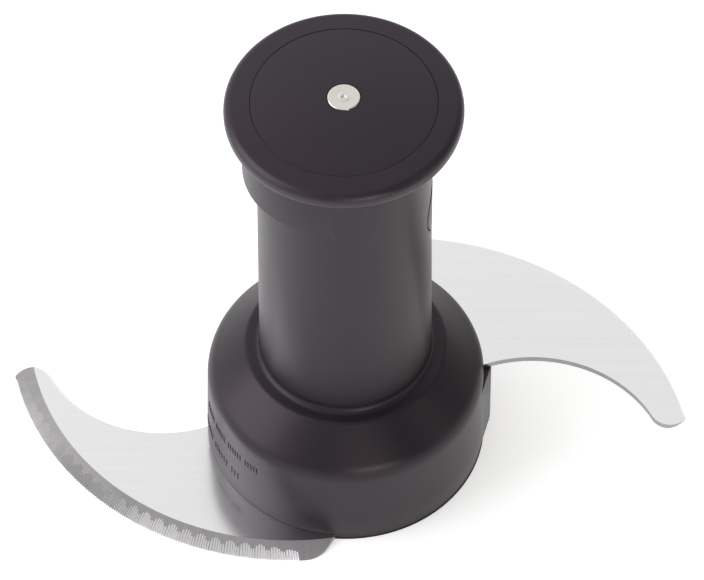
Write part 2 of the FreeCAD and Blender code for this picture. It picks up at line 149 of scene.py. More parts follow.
def turnedPiece(name, corners, steps):
    section = roundedSection(corners)
    deselectAll()
    bpy.ops.mesh.primitive_circle_add(vertices=len(section), radius=1 * mm, fill_type="NOTHING")
    piece = bpy.context.object
    piece.name = name
    for vertex, point in zip(piece.data.vertices, section):
        vertex.co = (point.x, 0, point.y)
    editAll(piece)
    bpy.ops.mesh.spin(steps=steps, angle=2 * math.pi, center=(0, 0, 0), axis=(0, 0, 1))
    backToObject()
    cleanMesh(piece)
    return piece


def roundBar(radius, low, high, place=(0, 0), sides=64, topRadius=None):
    deselectAll()
    bpy.ops.mesh.primitive_cone_add(
        vertices=sides, radius1=radius, radius2=radius if topRadius is None else topRadius,
        depth=high - low, location=(place[0], place[1], (low + high) / 2))
    bar = bpy.context.object
    applyPlace(bar)
    return bar


# a bar that points sideways from the axis, at a height and a bearing
def sideBar(radius, start, end, height, bearing, sides=96):
    deselectAll()
    bpy.ops.mesh.primitive_cylinder_add(vertices=sides, radius=radius, depth=end - start)
    bar = bpy.context.object
    bar.matrix_world = (
        Matrix.Rotation(math.radians(bearing), 4, "Z") @ Matrix.Translation(((start + end) / 2, 0, height))
        @ Matrix.Rotation(math.radians(90), 4, "Y"))
    applyPlace(bar)
    return bar


def plateFrom(name, outline, low, high):
    deselectAll()
    bpy.ops.mesh.primitive_circle_add(vertices=len(outline), radius=50 * mm, fill_type="NGON")
    plate = bpy.context.object
    plate.name = name
    for vertex, point in zip(plate.data.vertices, outline):
        vertex.co = (point.x, point.y, low)
    editAll(plate)
    bpy.ops.mesh.extrude_region_move(TRANSFORM_OT_translate={"value": (0, 0, high - low)})
    backToObject()
    cleanMesh(plate)
    return plate


def finishPiece(piece, body, material, nodes, angle=30):
    piece.data.materials.clear()
    piece.data.materials.append(material)
    softEdges(piece, angle)
    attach(piece, body)
    if nodes:
        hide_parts(*nodes)
    print(piece.name, "has", len(piece.data.polygons), "faces")


cameraSet = {
    "lens": 281.25, "sensor": 36, "near": 0.05, "far": 20,
    "elevation": 53.23,
    "roll": 0.31,
    "distance": 1415.7 * mm,
    "offset": (-1.52 * mm, -34.76 * mm),   # where the axis' foot stands off the line of sight
}


def addCamera(settings):
    tilt = math.radians(settings["elevation"])
    right = Vector((1, 0, 0))
    up = Vector((0, math.sin(tilt), math.cos(tilt)))
    back = Vector((0, -math.cos(tilt), math.sin(tilt)))
    roll = math.radians(settings["roll"])
    rolledRight = right * math.cos(roll) - up * math.sin(roll)
    rolledUp = right * math.sin(roll) + up * math.cos(roll)
    aside, below = settings["offset"]
    place = back * settings["distance"] - rolledRight * aside - rolledUp * below
    data = bpy.data.cameras.new("studioCamera")
    data.lens = settings["lens"]
    data.sensor_width = settings["sensor"]
    data.clip_start = settings["near"]
    data.clip_end = settings["far"]
    camera = bpy.data.objects.new("studioCamera", data)
    bpy.context.collection.objects.link(camera)
    columns = Matrix((rolledRight, rolledUp, back)).transposed()
    camera.matrix_world = Matrix.Translation(place) @ columns.to_4x4()
    bpy.context.scene.camera = camera


addCamera(cameraSet)
print("camera in place")


def math2(tree, operation, first, second, clamp=False):
    node = tree.nodes.new("ShaderNodeMath")
    node.operation = operation
    node.use_clamp = clamp
    for socket, value in zip(node.inputs, (first, second)):
        if isinstance(value, (int, float)):
            socket.default_value = value
        else:
            tree.links.new(value, socket)
    return node.outputs[0]


lightSet = {
    "aim": (0, 0, 0.06),
    "world": {"level": 0.26, "back": 0.50, "left": 0.75},
    "left": {"place": (-0.90, -0.15, 0.60), "size": (0.90, 1.0), "power": 8.0, "tint": (0.97, 0.94, 1.0)},
    "right": {"place": (0.95, -0.30, 0.50), "size": (0.30, 1.0), "power": 0.7, "tint": (1.0, 0.95, 0.87)},
    "back": {"place": (0.0, 1.15, 1.35), "size": (2.2, 1.3), "power": 3.0, "tint": (1.0, 1.0, 1.0)},
    "fill": {"place": (0.15, -1.00, 0.95), "size": (0.70, 0.50), "power": 1.0, "tint": (1.0, 0.96, 0.90)},
    "front": {"place": (0.38, -1.18, 0.34), "size": (0.50, 0.14), "power": 3.6, "tint": (1.0, 0.96, 0.86)},
    "top": {"place": (0.0, -0.1, 1.9), "size": (1.2, 1.2), "power": 2.4, "tint": (1.0, 1.0, 1.0)},
}


def addSoftbox(name, settings, target):
    data = bpy.data.lights.new(name, "AREA")
    data.shape = "RECTANGLE"
    data.size, data.size_y = settings["size"]
    data.energy = settings["power"]
    data.color = settings["tint"]
    lamp = bpy.data.objects.new(name, data)
    bpy.context.collection.objects.link(lamp)
    lamp.location = settings["place"]
    aim = Vector(target) - Vector(settings["place"])
    lamp.rotation_euler = aim.to_track_quat("-Z", "Y").to_euler()


# brighter towards the back and the left
def addWorld(settings):
    world = bpy.data.worlds.new("studio")
    world.use_nodes = True
    tree = world.node_tree
    place = tree.nodes.new("ShaderNodeTexCoord")
    parts = tree.nodes.new("ShaderNodeSeparateXYZ")
    tree.links.new(place.outputs["Generated"], parts.inputs["Vector"])
    back = math2(tree, "MULTIPLY", math2(tree, "MAXIMUM", parts.outputs["Y"], 0.0), settings["back"])
    left = math2(tree, "MULTIPLY", math2(tree, "MINIMUM", parts.outputs["X"], 0.0), -settings["left"])
    strength = math2(tree, "ADD", math2(tree, "ADD", back, left), settings["level"])
    tree.nodes["Background"].inputs["Color"].default_value = (1, 1, 1, 1)
    tree.links.new(strength, tree.nodes["Background"].inputs["Strength"])
    bpy.context.scene.world = world


addWorld(lightSet["world"])
for side in ("left", "right", "back", "fill", "front", "top"):
    addSoftbox(side + "Softbox", lightSet[side], lightSet["aim"])
bpy.context.scene.view_settings.view_transform = "Standard"
print("lights in place")


def addNode(tree, kind, **inputs):
    node = tree.nodes.new(kind)
    for name, value in inputs.items():
        node.inputs[name].default_value = value
    return node


def newGroup(name, inputs, outputs):
    group = bpy.data.node_groups.new(name, "ShaderNodeTree")
    for socket, kind, value in inputs:
        made = group.interface.new_socket(name=socket, in_out="INPUT", socket_type=kind)
        if value is not None:
            made.default_value = value
    for socket, kind in outputs:
        group.interface.new_socket(name=socket, in_out="OUTPUT", socket_type=kind)
    return group, group.nodes.new("NodeGroupInput"), group.nodes.new("NodeGroupOutput")


# maps 0..1 to low..high
def spread(tree, value, low, high):
    node = tree.nodes.new("ShaderNodeMapRange")
    node.inputs["To Min"].default_value = low
    node.inputs["To Max"].default_value = high
    tree.links.new(value, node.inputs["Value"])
    return node.outputs["Result"]


skinSet = {
    "cloudScale": 55.0, "scuffScale": 1400.0, "scuffStretch": (1.0, 1.0, 0.12), "scuffTurn": (0.5, 0.3, 0.0),
    "scuffFrom": 0.66, "scuffTo": 0.78, "scuffDepth": 0.35,
}


# moulded plastic: fine spark texture, slow waviness and light scuffs
def makeMouldSkin(skin):
    group, source, target = newGroup(
        "mouldSkin",
        [("Vector", "NodeSocketVector", None), ("Grain Scale", "NodeSocketFloat", 3000.0),
         ("Grain", "NodeSocketFloat", 0.5), ("Scuffs", "NodeSocketFloat", 0.5)],
        [("Height", "NodeSocketFloat"), ("Cloud", "NodeSocketFloat"), ("Scuff Mask", "NodeSocketFloat")])
    links = group.links
    grain = addNode(group, "ShaderNodeTexNoise", Detail=3.0, Roughness=0.6)
    links.new(source.outputs["Vector"], grain.inputs["Vector"])
    links.new(source.outputs["Grain Scale"], grain.inputs["Scale"])
    cloud = addNode(group, "ShaderNodeTexNoise", Scale=skin["cloudScale"], Detail=4.0, Roughness=0.55)
    links.new(source.outputs["Vector"], cloud.inputs["Vector"])
    stretch = group.nodes.new("ShaderNodeMapping")
    stretch.inputs["Scale"].default_value = skin["scuffStretch"]
    stretch.inputs["Rotation"].default_value = skin["scuffTurn"]
    links.new(source.outputs["Vector"], stretch.inputs["Vector"])
    scratch = addNode(group, "ShaderNodeTexNoise", Scale=skin["scuffScale"], Detail=2.0, Roughness=0.4)
    links.new(stretch.outputs["Vector"], scratch.inputs["Vector"])
    lines = group.nodes.new("ShaderNodeMapRange")
    lines.inputs["From Min"].default_value = skin["scuffFrom"]
    lines.inputs["From Max"].default_value = skin["scuffTo"]
    links.new(scratch.outputs["Fac"], lines.inputs["Value"])
    scuffs = math2(group, "MULTIPLY", lines.outputs["Result"], source.outputs["Scuffs"])
    fine = math2(group, "MULTIPLY", grain.outputs["Fac"], source.outputs["Grain"])
    height = math2(group, "SUBTRACT", fine, math2(group, "MULTIPLY", scuffs, skin["scuffDepth"]))
    links.new(height, target.inputs["Height"])
    links.new(cloud.outputs["Fac"], target.inputs["Cloud"])
    links.new(scuffs, target.inputs["Scuff Mask"])
    return group


brushSet = {"stretch": (0.012, 1.0, 1.0), "broadScale": 700.0, "cloudScale": 45.0}


# fine lines left by a belt or a wheel, long in the vector's X direction
def makeBrushing(brush):
    group, source, target = newGroup(
        "brushing",
        [("Vector", "NodeSocketVector", None), ("Lines", "NodeSocketFloat", 9000.0)],
        [("Height", "NodeSocketFloat"), ("Tone", "NodeSocketFloat"), ("Cloud", "NodeSocketFloat")])
    links = group.links
    stretch = group.nodes.new("ShaderNodeMapping")
    stretch.inputs["Scale"].default_value = brush["stretch"]
    links.new(source.outputs["Vector"], stretch.inputs["Vector"])
    fine = addNode(group, "ShaderNodeTexNoise", Detail=3.0, Roughness=0.65)
    links.new(stretch.outputs["Vector"], fine.inputs["Vector"])
    links.new(source.outputs["Lines"], fine.inputs["Scale"])
    broad = addNode(group, "ShaderNodeTexNoise", Scale=brush["broadScale"], Detail=2.0, Roughness=0.5)
    links.new(stretch.outputs["Vector"], broad.inputs["Vector"])
    cloud = addNode(group, "ShaderNodeTexNoise", Scale=brush["cloudScale"], Detail=3.0, Roughness=0.5)
    links.new(source.outputs["Vector"], cloud.inputs["Vector"])
    tone = math2(group, "MULTIPLY", math2(group, "ADD", fine.outputs["Fac"], broad.outputs["Fac"]), 0.5)
    links.new(fine.outputs["Fac"], target.inputs["Height"])
    links.new(tone, target.inputs["Tone"])
    links.new(cloud.outputs["Fac"], target.inputs["Cloud"])
    return group


mouldSkin = makeMouldSkin(skinSet)
brushing = makeBrushing(brushSet)


def newMaterial(name):
    material = bpy.data.materials.new(name)
    material.use_nodes = True
    tree = material.node_tree
    return material, tree, tree.nodes["Principled BSDF"]


def mixColours(tree, fac, first, second):
    node = tree.nodes.new("ShaderNodeMix")
    node.data_type = "RGBA"
    node.inputs["A"].default_value = (*first, 1)
    node.inputs["B"].default_value = (*second, 1)
    tree.links.new(fac, node.inputs["Factor"])
    return node.outputs["Result"]


def addBump(tree, shader, height, strength, distance):
    bump = addNode(tree, "ShaderNodeBump", Strength=strength, Distance=distance)
    tree.links.new(height, bump.inputs["Height"])
    tree.links.new(bump.outputs["Normal"], shader.inputs["Normal"])


def mouldedPlastic(name, settings):
    material, tree, shader = newMaterial(name)
    place = tree.nodes.new("ShaderNodeTexCoord")
    skin = tree.nodes.new("ShaderNodeGroup")
    skin.node_tree = mouldSkin
    skin.inputs["Grain Scale"].default_value = settings["grainScale"]
    skin.inputs["Grain"].default_value = settings["grain"]
    skin.inputs["Scuffs"].default_value = settings["scuffs"]
    tree.links.new(place.outputs["Object"], skin.inputs["Vector"])
    tree.links.new(mixColours(tree, skin.outputs["Cloud"], settings["dark"], settings["light"]),
                   shader.inputs["Base Color"])
    rough = spread(tree, skin.outputs["Cloud"], *settings["roughness"])
    rough = math2(tree, "ADD", rough, math2(tree, "MULTIPLY", skin.outputs["Scuff Mask"], 0.12), clamp=True)
    tree.links.new(rough, shader.inputs["Roughness"])
    shader.inputs["Specular IOR Level"].default_value = settings["specular"]
    shader.inputs["Specular Tint"].default_value = (*settings.get("sheen", (1, 1, 1)), 1)
    addBump(tree, shader, skin.outputs["Height"], settings["bump"], settings["depth"])
    return material


# brushed along X, or round a centre when one is given
def steel(name, settings):
    material, tree, shader = newMaterial(name)
    place = tree.nodes.new("ShaderNodeTexCoord")
    vector = place.outputs["Object"]
    centre = settings.get("centre")
    if centre:
        shift = tree.nodes.new("ShaderNodeMapping")
        shift.inputs["Location"].default_value = (-centre[0], -centre[1], 0)
        tree.links.new(vector, shift.inputs["Vector"])
        parts = tree.nodes.new("ShaderNodeSeparateXYZ")
        tree.links.new(shift.outputs["Vector"], parts.inputs["Vector"])
        angle = math2(tree, "ARCTAN2", parts.outputs["Y"], parts.outputs["X"])
        length = tree.nodes.new("ShaderNodeVectorMath")
        length.operation = "LENGTH"
        tree.links.new(shift.outputs["Vector"], length.inputs[0])
        arc = math2(tree, "MULTIPLY", angle, settings["arcRadius"])
        join = tree.nodes.new("ShaderNodeCombineXYZ")
        first, second = (length.outputs["Value"], arc) if settings["across"] else (arc, length.outputs["Value"])
        tree.links.new(first, join.inputs["X"])
        tree.links.new(second, join.inputs["Y"])
        vector = join.outputs["Vector"]
    lines = tree.nodes.new("ShaderNodeGroup")
    lines.node_tree = brushing
    lines.inputs["Lines"].default_value = settings["lines"]
    tree.links.new(vector, lines.inputs["Vector"])
    tree.links.new(mixColours(tree, lines.outputs["Tone"], settings["dark"], settings["light"]),
                   shader.inputs["Base Color"])
    tree.links.new(spread(tree, lines.outputs["Cloud"], *settings["roughness"]), shader.inputs["Roughness"])
    shader.inputs["Metallic"].default_value = 1.0
    addBump(tree, shader, lines.outputs["Height"], settings["bump"], settings["depth"])
    return material


hubPlastic = mouldedPlastic("hubPlastic", {
    "dark": (0.0092, 0.0070, 0.0090), "light": (0.0130, 0.0098, 0.0126), "roughness": (0.32, 0.40),
    "specular": 0.32, "sheen": (1.0, 0.87, 0.98),
    "grainScale": 2600.0, "grain": 0.8, "scuffs": 0.5, "bump": 0.5, "depth": 0.00003})
knobPlastic = mouldedPlastic("knobPlastic", {
    "dark": (0.0135, 0.0103, 0.0135), "light": (0.019, 0.0145, 0.0188), "roughness": (0.32, 0.40),
    "specular": 0.38, "sheen": (1.0, 0.86, 1.0),
    "grainScale": 3200.0, "grain": 0.6, "scuffs": 0.6, "bump": 0.45, "depth": 0.000025})
innerPlastic = mouldedPlastic("innerPlastic", {
    "dark": (0.045, 0.042, 0.045), "light": (0.06, 0.056, 0.06), "roughness": (0.5, 0.65), "specular": 0.4,
    "grainScale": 1800.0, "grain": 0.9, "scuffs": 0.2, "bump": 0.5, "depth": 0.00004})
slipPlastic = mouldedPlastic("slipPlastic", {
    "dark": (0.62, 0.60, 0.55), "light": (0.70, 0.68, 0.63), "roughness": (0.4, 0.5), "specular": 0.4,
    "grainScale": 2000.0, "grain": 0.4, "scuffs": 0.2, "bump": 0.3, "depth": 0.00002})
sealRubber = mouldedPlastic("sealRubber", {
    "dark": (0.02, 0.02, 0.021), "light": (0.03, 0.03, 0.032), "roughness": (0.6, 0.8), "specular": 0.3,
    "grainScale": 1500.0, "grain": 0.9, "scuffs": 0.1, "bump": 0.5, "depth": 0.00004})
bladeFace = steel("bladeFace", {
    "dark": (0.82, 0.81, 0.82), "light": (0.92, 0.91, 0.92), "roughness": (0.16, 0.22), "lines": 5200.0,
    "bump": 0.12, "depth": 0.000004})
fastenerSteel = steel("fastenerSteel", {
    "dark": (0.42, 0.42, 0.43), "light": (0.58, 0.58, 0.58), "roughness": (0.3, 0.42), "lines": 6000.0,
    "bump": 0.2, "depth": 0.000005})
socketSteel = steel("socketSteel", {
    "dark": (0.40, 0.40, 0.41), "light": (0.55, 0.55, 0.55), "roughness": (0.28, 0.4), "lines": 5000.0,
    "bump": 0.3, "depth": 0.000006, "centre": (0, 0), "arcRadius": 0.008, "across": False})
studSteel = steel("studSteel", {
    "dark": (0.62, 0.59, 0.55), "light": (0.80, 0.77, 0.73), "roughness": (0.2, 0.3), "lines": 6500.0,
    "bump": 0.3, "depth": 0.000005, "centre": (0, 0), "arcRadius": 0.003, "across": False})


# ground steel: the radial grinding lines are real, but its base colour, far darker than the faces, is painted
# shade for a bevel that reflects a darker surround
def groundSteelPaintedShade(name, centre):
    return steel(name, {
        "dark": (0.27, 0.26, 0.27), "light": (0.43, 0.42, 0.43), "roughness": (0.24, 0.34), "lines": 4200.0,
        "bump": 0.5, "depth": 0.000012, "centre": centre, "arcRadius": 0.073, "across": True})


print("materials made")


bladeShape = {
    "thickness": 1.65 * mm,
    "cutCentre": (-14.0 * mm, 31.3 * mm), "cutRadius": 73.3 * mm,
    "backCentre": (-47.2 * mm, 30.2 * mm), "backRadius": 33.6 * mm,
    "tipAngle": 192.08, "tipRound": 5.0 * mm,
    "noseLineAt": (-4.6 * mm, -38.0 * mm), "noseLineAngle": 58.0, "noseRound": 7.0 * mm,
    "rootRadius": 24.0 * mm, "rootHole": 15.85 * mm, "rootSides": 128,
    "bevelWidth": 5.1 * mm, "edgeLand": 0.16 * mm, "coneTop": 0.3 * mm, "coneSides": 1440,
    "dowelPitchRadius": 19.925 * mm, "dowelHole": 2.05 * mm, "screwHole": 1.55 * mm,
    "sinkRadius": 2.9 * mm, "sinkDepth": 1.0 * mm, "sinkEase": 0.1 * mm, "sinkStart": 0.05 * mm,
    "patternTurn": 20.0,
    "wallTilt": 0.2, "grooveTilt": 0.9, "flatTilt": 0.995,     # upward share of a face's normal
}

serration = {
    "from": 192.8, "to": 271.4,      # about the cutting arc's centre
    "scallops": 25, "perScallop": 6,
    "scallopDepth": 0.16 * mm,
    "reachMiddle": 3.9 * mm, "reachEdge": 2.1 * mm,
    "innerDepth": 0.20 * mm, "edgeDepth": 0.34 * mm, "grooveHalf": 0.36 * mm, "barLength": 8 * mm,
    "startRise": 5, "endRise": 8, "endLeast": 0.25,      # scallops are shallower at both ends
    "lean": 5.0,
}


# plan of the lower blade, counter-clockwise from the tip's corner
def bladeOutline(shape, teeth):
    cutCentre = Vector(shape["cutCentre"])
    backCentre = Vector(shape["backCentre"])
    corner = polar(cutCentre, shape["cutRadius"], shape["tipAngle"])

    reach = shape["backRadius"] + shape["tipRound"]
    away = corner - backCentre
    cosine = (reach ** 2 + away.length_squared - shape["tipRound"] ** 2) / (2 * reach * away.length)
    backTip = degreesOf(away) + math.degrees(math.acos(cosine))
    tipCentre = polar(backCentre, reach, backTip)

    noseTurn = math.radians(shape["noseLineAngle"])
    side = Vector((-math.sin(noseTurn), math.cos(noseTurn)))
    along = Vector((side.y, -side.x))
    base = Vector(shape["noseLineAt"]) + side * shape["noseRound"]
    offset = base - cutCentre
    run = -offset.dot(along) - math.sqrt(
        offset.dot(along) ** 2 - offset.length_squared + (shape["cutRadius"] - shape["noseRound"]) ** 2)
    noseCentre = base + along * run
    noseStart = degreesOf(noseCentre - cutCentre)
    lineStart = noseCentre - side * shape["noseRound"]
    half = lineStart.dot(along)
    lineEnd = lineStart + along * (-half - math.sqrt(
        half ** 2 - lineStart.length_squared + shape["rootRadius"] ** 2))

    gap = backCentre.length
    spreadAngle = math.degrees(math.acos(
        (shape["rootRadius"] ** 2 + gap ** 2 - shape["backRadius"] ** 2) / (2 * shape["rootRadius"] * gap)))
    rootEnd = degreesOf(backCentre) + spreadAngle
    backStart = polar((0, 0), shape["rootRadius"], rootEnd)

    points = arcPoints(cutCentre, shape["cutRadius"], shape["tipAngle"], teeth["from"], 4)
    steps = teeth["scallops"] * 8
    for i in range(1, steps):
        phase = (i % 8) / 8
        dip = teeth["scallopDepth"] * (1 - (2 * phase - 1) ** 2) if i % 8 else 0
        angle = teeth["from"] + (teeth["to"] - teeth["from"]) * i / steps
        points.append(polar(cutCentre, shape["cutRadius"] - dip, angle))
    points += arcPoints(cutCentre, shape["cutRadius"], teeth["to"], noseStart, 2)
    points += arcPoints(noseCentre, shape["noseRound"], noseStart, shape["noseLineAngle"] - 90 + 360, 20)[1:]
    points += arcPoints((0, 0), shape["rootRadius"], degreesOf(lineEnd) - 360, rootEnd, 90)
    points += arcPoints(backCentre, shape["backRadius"], degreesOf(backStart - backCentre), backTip, 110)[1:]
    points += arcPoints(tipCentre, shape["tipRound"], backTip - 180, degreesOf(corner - tipCentre), 24)[1:-1]
    return points


# height of the ground face at a distance from the cutting arc's centre
def bevelHeight(shape, radius):
    inner = shape["cutRadius"] - shape["bevelWidth"]
    slope = (shape["thickness"] - shape["edgeLand"]) / shape["bevelWidth"]
    return shape["thickness"] - (radius - inner) * slope


# keeps what lies under a wide cone, which leaves the ground face
def grindBevel(plate, shape):
    low, high = -past, shape["thickness"] + shape["coneTop"]
    slope = shape["bevelWidth"] / (shape["thickness"] - shape["edgeLand"])
    inner = shape["cutRadius"] - shape["bevelWidth"]
    deselectAll()
    bpy.ops.mesh.primitive_cone_add(
        vertices=shape["coneSides"], radius1=inner + (shape["thickness"] - low) * slope,
        radius2=inner - (high - shape["thickness"]) * slope, depth=high - low,
        location=(shape["cutCentre"][0], shape["cutCentre"][1], (low + high) / 2))
    cone = bpy.context.object
    applyPlace(cone)
    boolean(plate, cone, "INTERSECT")


# cuts every second groove, with square bars lying on edge, longest in the middle of each scallop
def fileTeeth(plate, shape, teeth, first):
    deselectAll()
    bpy.ops.mesh.primitive_cube_add(size=1)
    bar = bpy.context.object
    total = teeth["scallops"] * teeth["perScallop"]
    bars = [bar]
    edge = shape["cutRadius"]
    for i in range(first, total, 2):
        share = (i + 0.5) / total
        phase = (i % teeth["perScallop"] + 0.5) / teeth["perScallop"]
        fade = min(1, teeth["startRise"] * share, teeth["endRise"] * (1 - share) + teeth["endLeast"])
        bulge = (1 - (2 * phase - 1) ** 2) * fade
        reach = teeth["reachEdge"] + (teeth["reachMiddle"] - teeth["reachEdge"]) * bulge
        inner = edge - reach
        topZ = bevelHeight(shape, inner) - teeth["innerDepth"]
        edgeZ = bevelHeight(shape, edge) - teeth["edgeDepth"]
        tilt = math.atan2(topZ - edgeZ, reach)
        length = teeth["barLength"]
        square = teeth["grooveHalf"] * math.sqrt(2)
        copy = bpy.data.objects.new("bar", bar.data.copy())
        bpy.context.collection.objects.link(copy)
        angle = teeth["from"] + (teeth["to"] - teeth["from"]) * share
        start = polar(shape["cutCentre"], inner, angle)
        copy.matrix_world = (
            Matrix.Translation((start.x, start.y, topZ))
            @ Matrix.Rotation(math.radians(angle + teeth["lean"]), 4, "Z")
            @ Matrix.Rotation(tilt, 4, "Y")
            @ Matrix.Translation((length / 2, 0, teeth["grooveHalf"]))
            @ Matrix.Rotation(math.radians(45), 4, "X")
            @ Matrix.Diagonal((length, square, square, 1)))
        bars.append(copy)
    bpy.data.objects.remove(bars.pop(0))
    files = joinAll(bars)
    applyPlace(files)
    boolean(plate, files)


def addBlade(name, node, shape, teeth, upper):
    blade = plateFrom(name, bladeOutline(shape, teeth), 0, shape["thickness"])
    grindBevel(blade, shape)
    for first in (0, 1):
        fileTeeth(blade, shape, teeth, first)
    below, above = -past, shape["thickness"] + past
    boolean(blade, roundBar(shape["rootHole"], below, above, sides=shape["rootSides"]))
    for i in range(4):
        dowelPlace = polar((0, 0), shape["dowelPitchRadius"], shape["patternTurn"] + 90 * i)
        boolean(blade, roundBar(shape["dowelHole"], below, above, dowelPlace))
        if not upper:
            screwPlace = polar((0, 0), shape["dowelPitchRadius"], shape["patternTurn"] + 45 + 90 * i)
            boolean(blade, roundBar(shape["screwHole"], below, above, screwPlace))
            boolean(blade, roundBar(shape["sinkRadius"] + shape["sinkEase"], -shape["sinkStart"],
                                    shape["sinkDepth"], screwPlace, topRadius=shape["screwHole"]))
    if upper:
        for vertex in blade.data.vertices:
            x, y, z = vertex.co
            vertex.co = (-x, -y, shape["thickness"] - z)
        blade.data.flip_normals()
    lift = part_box(node)[0].z
    for vertex in blade.data.vertices:
        vertex.co.z += lift
    finishPiece(blade, "hub", bladeFace, [node], angle=12)
    centre = shape["cutCentre"] if not upper else (-shape["cutCentre"][0], -shape["cutCentre"][1])
    blade.data.materials.append(groundSteelPaintedShade(name + "Ground", centre))
    # the walls and the bevel are ground and take the darker steel, whose low base colour is painted shade, and
    # the grooves stay as bright as the faces
    for polygon in blade.data.polygons:
        tilt = abs(polygon.normal.z)
        if tilt < shape["wallTilt"] or shape["grooveTilt"] < tilt < shape["flatTilt"]:
            polygon.material_index = 1


addBlade("lowerBladeGround", "lower_blade", bladeShape, serration, upper=False)
addBlade("upperBladeGround", "upper_blade", bladeShape, serration, upper=True)
print("blades ground")


hubShape = {
    "footRadius": 35.66 * mm, "skirtTopRadius": 35.0 * mm, "skirtWall": 2.6 * mm,
    "footRound": 0.25 * mm, "skirtEdge": 27.0 * mm, "skirtEdgeRound": 6.5 * mm,
    "beadRadius": 25.26 * mm, "beadFall": 0.4 * mm, "beadRound": 2.0 * mm,
    "columnFootRadius": 21.71 * mm, "footFillet": 1.6 * mm, "columnTopRadius": 21.06 * mm,
    "boreRadius": 17.5 * mm, "boreBelow": 12 * mm, "boreAbove": 5 * mm,
    "shoulderWall": 2.9 * mm, "rimChamfer": 0.3 * mm,
    "lobeOffset": 3.7 * mm, "lobeHeight": 18.4 * mm, "lobeRound": 0.7 * mm, "lobeLap": 1 * mm,
    "ledgeOut": 1.64 * mm, "ledgeRamp": -16.0, "ledgeFrom": 4.3, "ledgeTo": 82.0, "ledgeRound": 8.0 * mm,
    "ledgeLift": 0.02 * mm, "ledgeEdge": 0.15 * mm,
    "skirtRings": (4, 9, 14, 19, 23), "columnRings": (50, 64, 78, 85, 92, 99, 106, 112, 119),    # in mm
    "slotGap": 0.08 * mm, "steps": 288,
}

buttonShape = {
    "radius": 8.0 * mm, "gap": 0.3 * mm, "bearing": 3.5, "height": 94.0 * mm,
    "proud": 0.35 * mm, "edgeRound": 0.45 * mm, "sink": 0.05 * mm, "stock": 24 * mm,
    "faceLow": 80 * mm, "faceHigh": 110 * mm, "cutFrom": 10 * mm, "cutTo": 26 * mm,
    "stemHole": 2.05 * mm, "stemTo": 19.5 * mm, "stemSides": 48,
}


def hubSection(shape, columnTop, shoulderTop):
    under = shoulderTop - shape["shoulderWall"]
    columnSlope = (shape["columnFootRadius"] - shape["columnTopRadius"]) / (columnTop - shoulderTop)
    skirtSlope = (shape["footRadius"] - shape["skirtTopRadius"]) / shape["skirtEdge"]
    skirt = [(shape["footRadius"] - skirtSlope * z * mm, z * mm, 0) for z in shape["skirtRings"]]
    column = [(shape["columnFootRadius"] - columnSlope * (z * mm - shoulderTop), z * mm, 0)
              for z in shape["columnRings"]]
    return (
        [(shape["footRadius"], 0, shape["footRound"])] + skirt
        + [(shape["skirtTopRadius"], shape["skirtEdge"], shape["skirtEdgeRound"]),
           (shape["beadRadius"], shoulderTop - shape["beadFall"], shape["beadRound"]),
           (shape["columnFootRadius"], shoulderTop, shape["footFillet"])] + column
        + [(shape["columnTopRadius"], columnTop, shape["rimChamfer"]),
           (shape["boreRadius"], columnTop, shape["rimChamfer"]),
           (shape["boreRadius"], under, 0),
           (shape["beadRadius"] - shape["shoulderWall"] / 2, under, 0),
           (shape["skirtTopRadius"] - shape["skirtWall"], shape["skirtEdge"] - shape["skirtEdgeRound"] / 2, 0),
           (shape["footRadius"] - shape["skirtWall"], 0, shape["footRound"])])


# the ledge under the upper blade's root, with a ramp in front and a rounded corner between them
def addLedge(shape, top):
    outer = shape["footRadius"] + shape["ledgeOut"]
    start = polar((0, 0), shape["skirtTopRadius"], shape["ledgeRamp"])
    corner = polar((0, 0), outer, shape["ledgeFrom"])
    along = (corner - start).normalized()
    tangent = polar((0, 0), 1, shape["ledgeFrom"] + 90)
    half = along.angle(tangent) / 2
    reach = shape["ledgeRound"] * math.tan(half)
    centre = corner - along * reach + Vector((-along.y, along.x)) * shape["ledgeRound"]
    first = degreesOf(corner - along * reach - centre) - 360
    outline = [start] + arcPoints(centre, shape["ledgeRound"], first, first + math.degrees(2 * half), 8)
    ringStart = shape["ledgeFrom"] + math.degrees(reach / outer)
    outline += arcPoints((0, 0), outer, ringStart, shape["ledgeTo"], 60)[1:]
    inner = shape["skirtTopRadius"] - shape["skirtWall"] / 2
    outline += arcPoints((0, 0), inner, shape["ledgeTo"], shape["ledgeRamp"], 40)
    ledge = plateFrom("ledge", outline, shape["ledgeLift"], top)
    applyModifier(ledge, "BEVEL", width=shape["ledgeEdge"], segments=2, limit_method="ANGLE",
                  angle_limit=math.radians(60))
    return ledge


